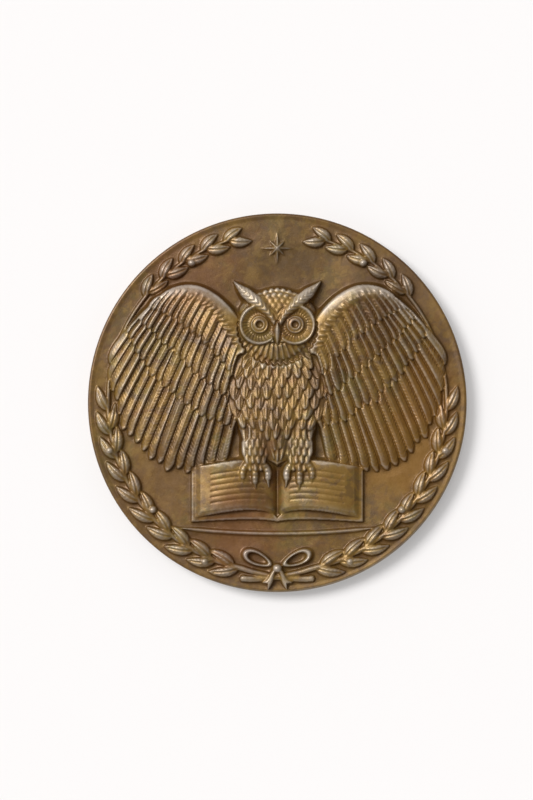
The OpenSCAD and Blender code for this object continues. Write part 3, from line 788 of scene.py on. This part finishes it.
flat = face_points()
faces = face_triangles()
heights = sampled(H, flat[:, 0], flat[:, 1]) + FIELD_Z
verts = [np.column_stack([flat, heights])]
around = 6 * RINGS
a = np.arange(around) * (2 * np.pi / around)
circle = np.stack([np.cos(a), np.sin(a)], 1)
edge_z = heights[-around:]
base = len(flat)
last = base - around
j = np.arange(around)
for r, z in edge_profile():
    # the face's last ring is not quite level, so the corner starts from its heights
    blend = max(0.0, 1 - (rim_top - z) / CORNER_R)
    verts.append(np.column_stack([circle * r, z + (edge_z - rim_top) * blend]))
    faces.append(np.stack([last + j, base + j, base + (j + 1) % around], 1))
    faces.append(np.stack([last + j, base + (j + 1) % around, last + (j + 1) % around], 1))
    last, base = base, base + around
verts.append(np.array([[0.0, 0.0, BACK_DEPTH]]))
faces.append(np.stack([last + j, np.full(around, base), last + (j + 1) % around], 1))
verts = np.concatenate(verts) / 1000
faces = np.concatenate(faces)


def mesh_from(name, co, tris):
    mesh = bpy.data.meshes.new(name)
    mesh.vertices.add(len(co))
    mesh.vertices.foreach_set("co", co.astype(np.float32).ravel())
    mesh.loops.add(len(tris) * 3)
    mesh.loops.foreach_set("vertex_index", tris.astype(np.int32).ravel())
    mesh.polygons.add(len(tris))
    mesh.polygons.foreach_set("loop_start", np.arange(0, len(tris) * 3, 3, dtype=np.int32))
    mesh.update(calc_edges=True)
    return mesh


medal = bpy.data.objects.new("medal_bronze", mesh_from("medal_bronze", verts, faces))
bpy.context.scene.collection.objects.link(medal)
if len(faces) > TRIANGLES:
    thin = medal.modifiers.new("thin", "DECIMATE")
    thin.ratio = TRIANGLES / len(faces)
    thin.use_collapse_triangulate = True
    made = bpy.data.meshes.new_from_object(medal.evaluated_get(bpy.context.evaluated_depsgraph_get()))
    medal.modifiers.clear()
    medal.data = made
    made.name = "medal_bronze"
mesh = medal.data
co = np.empty(len(mesh.vertices) * 3, np.float32)
mesh.vertices.foreach_get("co", co)
co = co.reshape(-1, 3).astype(float)
x, y, z = co.T * 1000
r = np.hypot(x, y)
upper_half = z > FIELD_Z / 2

# Normals: the corners follow their own roundness, the back is level, and the face has the relief's slopes
out = np.stack([x, y], 1) / np.maximum(r, 1e-6)[:, None]
lean = np.clip((r - FACE_EDGE) / CORNER_R, 0, 1)
tall = np.sqrt(1 - lean ** 2)
on_side = (z > CORNER_R) & (z < rim_top - CORNER_R)
normals = np.zeros_like(co)
normals[:, :2] = out * lean[:, None]
normals[:, 2] = np.where(on_side, 0.0, np.where(upper_half, tall, -tall))
on_face = (r < FACE_EDGE - NEAR) & upper_half
slopes = np.column_stack([-sampled(SLOPE_X, x, y), -sampled(SLOPE_Y, x, y), np.ones(len(x))])
normals[on_face] = slopes[on_face]
on_step = (r < FOOT_IN + NEAR) & (r > RECESS_R - NEAR) & ~upper_half
normals[on_step] = np.column_stack([-out * 0.35, -np.ones(len(x))])[on_step]
normals /= np.maximum(np.linalg.norm(normals, axis=1), 1e-9)[:, None]
mesh.polygons.foreach_set("use_smooth", np.ones(len(mesh.polygons), bool))
mesh.normals_split_custom_set_from_vertices(normals.astype(np.float32))

# What the casting's form does to its colour: grooves keep dark patina, the ground beside tall forms gets
# painted shade, and what stands out is rubbed.
# The edge's corner gets painted shade at the upper left and a painted highlight, like a reflection of the
# white paper, at the lower right
on_corner = (r > FACE_EDGE + 0.1) & (z > FIELD_Z - CORNER_R)
edge_painted_light = -0.06 + 0.2 * (0.5 * x - 0.87 * y) / np.maximum(r, 1e-6)
# Attribute, its values on the face, and those on the back and on the edge
FORMS = [
    ("fine", FINE, 0.0, edge_painted_light),
    ("broad", BROAD, 0.0, 4 * edge_painted_light),
    ("height", H, 0.3, 0.2),
]
for name, grid, back, corner in FORMS:
    values = np.where(on_corner, corner, np.where(upper_half, sampled(grid, x, y), back))
    layer = mesh.attributes.new(name, "FLOAT", "POINT")
    layer.data.foreach_set("value", values.astype(np.float32))


# Node helpers
def node(tree, kind, **values):
    n = tree.nodes.new(kind)
    for key, value in values.items():
        if key in n.inputs:
            n.inputs[key].default_value = value
        else:
            setattr(n, key, value)
    return n


def ramp(tree, value, start, end, low=0.0, high=1.0):
    """A soft ramp from low, where the value is at the start, to high at the end."""
    n = node(tree, "ShaderNodeMapRange", interpolation_type="SMOOTHSTEP")
    for i, v in zip((1, 2, 3, 4), (start, end, low, high)):
        n.inputs[i].default_value = v
    tree.links.new(value, n.inputs[0])
    return n.outputs[0]


def linear(v):
    return v / 255 / 12.92 if v <= 10 else ((v / 255 + 0.055) / 1.055) ** 2.4


def rgb(r, g, b):
    """An sRGB colour as the linear values that nodes take."""
    return linear(r), linear(g), linear(b), 1.0


# Bronze with a brown patina
bronze = bpy.data.materials.new("bronze")
bronze.use_nodes = True
tree = bronze.node_tree
tree.nodes.clear()
link = tree.links.new
output = node(tree, "ShaderNodeOutputMaterial")
shader = node(tree, "ShaderNodeBsdfPrincipled", Metallic=0.38)
shader.inputs["Specular IOR Level"].default_value = 0.6
link(shader.outputs[0], output.inputs[0])
place = node(tree, "ShaderNodeTexCoord").outputs["Object"]


def noise(scale, detail=3.0, rough=0.5, distortion=0.0):
    n = node(tree, "ShaderNodeTexNoise", Scale=scale, Detail=detail, Roughness=rough, Distortion=distortion)
    link(place, n.inputs["Vector"])
    return n.outputs["Fac"]


def remap(value, start, end, low=0.0, high=1.0):
    return ramp(tree, value, start, end, low, high)


def math_node(operation, a, b=0.0, clamp=False):
    n = node(tree, "ShaderNodeMath", operation=operation, use_clamp=clamp)
    for i, v in enumerate((a, b)):
        if isinstance(v, (int, float)):
            n.inputs[i].default_value = v
        else:
            link(v, n.inputs[i])
    return n.outputs[0]


def add(a, b, clamp=False):
    return math_node("ADD", a, b, clamp)


def times(a, b):
    return math_node("MULTIPLY", a, b)


def tint(share, a, b):
    n = node(tree, "ShaderNodeMix", data_type="RGBA")
    link(share, n.inputs[0])
    for i, v in ((6, a), (7, b)):
        if isinstance(v, tuple):
            n.inputs[i].default_value = v
        else:
            link(v, n.inputs[i])
    return n.outputs[2]


def form(name):
    return node(tree, "ShaderNodeAttribute", attribute_name=name).outputs["Fac"]


fine, broad, height = form("fine"), form("broad"), form("height")
patch = noise(70, 4, 0.6, 0.4)
blotch = noise(150, 5, 0.62, 0.3)
speck = noise(900, 4, 0.6)
mottle = noise(420, 4, 0.6, 0.6)
DARK_PATCH, LIGHT_PATCH = rgb(97, 69, 28), rgb(128, 97, 42)
# Layers of patina, each over the last: what it follows, where it starts and is full, strength, colour
PATINA = [
    (noise(190, 5, 0.65, 0.8), 0.52, 0.64, 0.55, (108, 70, 33)),
    (noise(130, 4, 0.6, 0.5), 0.52, 0.62, 0.55, (98, 86, 40)),
    (noise(270, 4, 0.62, 0.6), 0.54, 0.61, 0.5, (88, 68, 52)),
    (noise(340, 4, 0.62, 0.5), 0.55, 0.62, 0.5, (130, 96, 38)),
    # the ground is darker than the figures, whose broad smooth forms are more golden
    (height, 0.55, 0.1, 0.4, (92, 66, 30)),
    (broad, 0.0, 0.9, 0.45, (124, 106, 44)),
    (mottle, 0.51, 0.62, 0.45, (82, 60, 38)),
    (mottle, 0.47, 0.38, 0.4, (132, 104, 50)),
]
# Larger stains: place, radius, strength, colour
STAINS = [
    (26, -10, 12, 0.85, (124, 87, 28)),
    (31, 2, 8, 0.6, (124, 84, 30)),
    (-19, 26, 11, 0.6, (108, 68, 32)),
    (-8, -27, 10, 0.65, (112, 70, 32)),
    (-27, -16, 9, 0.45, (110, 77, 31)),
    (24, 24, 10, 0.6, (84, 58, 34)),
    (2, 30, 8, 0.4, (84, 64, 34)),
]
RAGGED = 1.8
GROOVE_PATINA_AND_SHADE, RUBBED_METAL, DARK_SPECK = rgb(75, 45, 4), rgb(188, 178, 170), rgb(56, 38, 18)


def stain(x, y, radius):
    """Strength of a ragged stain round a place on the face."""
    n = node(tree, "ShaderNodeVectorMath", operation="DISTANCE")
    link(place, n.inputs[0])
    n.inputs[1].default_value = (x / 1000, y / 1000, FIELD_Z / 1000)
    away = math_node("DIVIDE", n.outputs["Value"], radius / 1000)
    wander = times(math_node("SUBTRACT", blotch, 0.5), RAGGED)
    return remap(add(away, wander), 1.25, 0.35)


colour = tint(remap(patch, 0.42, 0.58), DARK_PATCH, LIGHT_PATCH)
for follows, start, full, strength, shade in PATINA:
    colour = tint(times(remap(follows, start, full), strength), colour, rgb(*shade))
for x, y, radius, strength, shade in STAINS:
    colour = tint(times(stain(x, y, radius), strength), colour, rgb(*shade))
# Dark patina in the fine grooves, and painted shade on the ground beside tall forms
groove_patina_and_shade = add(remap(fine, -0.02, -0.20), times(remap(broad, -0.1, -0.8), 0.5), clamp=True)
colour = tint(times(groove_patina_and_shade, 0.52), colour, GROOVE_PATINA_AND_SHADE)
worn = add(times(remap(fine, 0.03, 0.17), 0.22), times(remap(broad, 0.2, 1.1), 0.42), clamp=True)
rubbed = times(worn, remap(speck, 0.3, 0.62, 0.55, 1.0))
colour = tint(rubbed, colour, RUBBED_METAL)
colour = tint(times(remap(speck, 0.6, 0.78), 0.3), colour, DARK_SPECK)
link(colour, shader.inputs["Base Color"])
dull = times(remap(speck, 0.3, 0.7), 0.08)
link(add(remap(rubbed, 0.0, 1.0, 0.37, 0.32), dull), shader.inputs["Roughness"])
skin = node(tree, "ShaderNodeBump", Strength=0.35, Distance=0.00006)
link(add(noise(2600, 3, 0.6), times(noise(700, 3, 0.5), 1.2)), skin.inputs["Height"])
link(skin.outputs[0], shader.inputs["Normal"])
mesh.materials.clear()
mesh.materials.append(bronze)

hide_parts("medal")
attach(medal, "root")

# White paper, in metres like all that follows. It lies a hair below the foot ring. It also glows a little,
# painted light that lifts the shadow the medal throws on it
PAPER_SIZE, PAPER_Z = 3.0, -0.00002
PAPER_COLOUR, PAPER_GLOW, GLOW_STRENGTH = (0.528, 0.516, 0.516, 1), (1.0, 0.992, 0.995, 1), 0.299
bpy.ops.mesh.primitive_plane_add(size=PAPER_SIZE, location=(0, 0, PAPER_Z))
floor = bpy.context.object
floor.name = "paper"
paper = bpy.data.materials.new("paper")
paper.use_nodes = True
white = paper.node_tree.nodes["Principled BSDF"]
white.inputs["Base Color"].default_value = PAPER_COLOUR
white.inputs["Roughness"].default_value = 0.9
white.inputs["Emission Color"].default_value = PAPER_GLOW
white.inputs["Emission Strength"].default_value = GLOW_STRENGTH
floor.data.materials.append(paper)


# Light: a large soft key from the upper left, a weaker one above it, and a sky that fills in
def sun(name, azimuth, elevation, strength, angle, colour=(1, 1, 1)):
    """A distant lamp. Azimuth, elevation and the angle that it fills are in degrees."""
    lamp = bpy.data.lights.new(name, "SUN")
    lamp.energy = strength
    lamp.angle = math.radians(angle)
    lamp.color = colour
    o = bpy.data.objects.new(name, lamp)
    o.rotation_euler = (math.radians(90 - elevation), 0, math.radians(azimuth + 90))
    bpy.context.scene.collection.objects.link(o)


sun("key", 148, 51, 2.98, 24, (1.0, 0.995, 0.985))
sun("top", 118, 66, 0.55, 26)
# The sky is brighter towards this side, and weaker overhead
BRIGHT_SIDE = (-0.72, 0.52, 0.46)
world = bpy.data.worlds.new("studio")
world.use_nodes = True
sky = world.node_tree
toward = node(sky, "ShaderNodeTexCoord").outputs["Generated"]
bright = node(sky, "ShaderNodeVectorMath", operation="DOT_PRODUCT")
bright.inputs[1].default_value = BRIGHT_SIDE
sky.links.new(toward, bright.inputs[0])
up = node(sky, "ShaderNodeSeparateXYZ")
sky.links.new(toward, up.inputs[0])
both = node(sky, "ShaderNodeMath", operation="MULTIPLY")
sky.links.new(ramp(sky, bright.outputs["Value"], -0.7, 0.9, 0.21, 0.70), both.inputs[0])
sky.links.new(ramp(sky, up.outputs[2], 0.62, 0.96, 1.0, 0.4), both.inputs[1])
sky.links.new(both.outputs[0], sky.nodes["Background"].inputs[1])
sky.nodes["Background"].inputs[0].default_value = (1.0, 0.99, 0.97, 1)
bpy.context.scene.world = world
bpy.context.scene.view_settings.view_transform = "Standard"

# Camera straight above. The picture's scale is that at the height of the face
PICTURE_H_PX = 800
PX_PER_MM = 4.74
SENSOR = 36.0
CAMERA_OFF = (-0.00228, 0.00059)
SCALE_Z = 0.0045
distance = 0.70
lens = bpy.data.cameras.new("camera")
lens.sensor_width = SENSOR
lens.lens = SENSOR * distance / (PICTURE_H_PX / PX_PER_MM / 1000)
camera = bpy.data.objects.new("camera", lens)
bpy.context.scene.collection.objects.link(camera)
camera.location = (*CAMERA_OFF, distance + SCALE_Z)
bpy.context.scene.camera = camera
